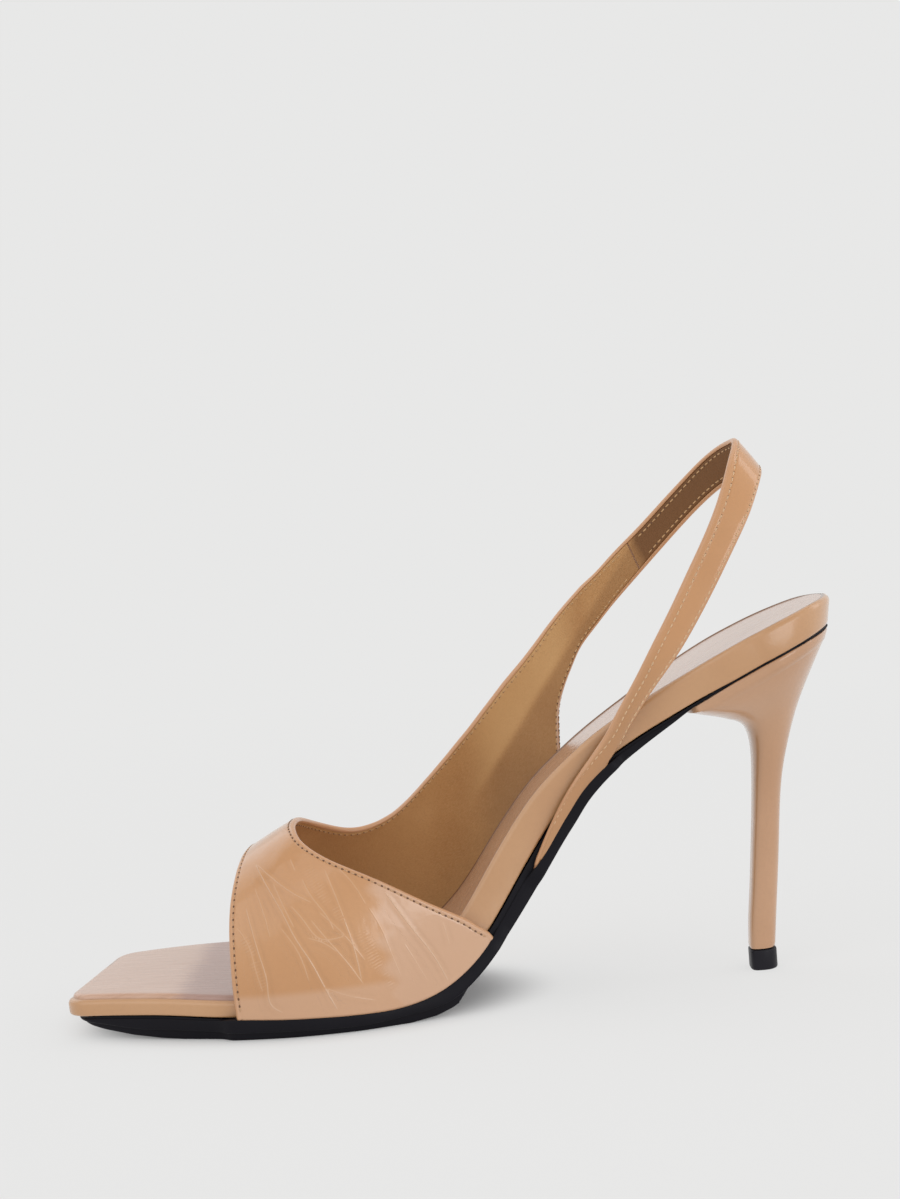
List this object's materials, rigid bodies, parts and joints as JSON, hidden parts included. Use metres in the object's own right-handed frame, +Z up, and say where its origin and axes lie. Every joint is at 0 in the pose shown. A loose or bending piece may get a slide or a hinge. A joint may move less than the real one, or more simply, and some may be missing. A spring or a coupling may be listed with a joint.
{
  "type": "slingback sandal",
  "caption": "Open-toe slingback sandal on a thin stiletto heel, with a broad vamp, a high side wing that runs into the sling, and a square toe.",
  "frame": {"origin": "on the floor under the middle of the shoe's bounding box", "axes": "+X towards the heel, -X towards the toe; -Y is the medial side, +Y the lateral side; +Z up"},
  "size_m": [0.2168, 0.0782, 0.1488],
  "materials": {
    "wrapped_rim": "glossy tan, smooth",
    "sock": "glossy pinkish beige, fine lengthwise grain",
    "upper_leather": "glossy tan with embossed creases, golden brown lining",
    "sole": "satin black",
    "heel_cover": "glossy tan, smooth",
    "lift": "satin black"
  },
  "bodies": {
    "root": {"insole_board": "wrapped_rim", "sock_lining": "sock", "upper": "upper_leather", "outsole": "sole", "heel": "heel_cover", "top_lift": "lift"}
  },
  "joints": []
}
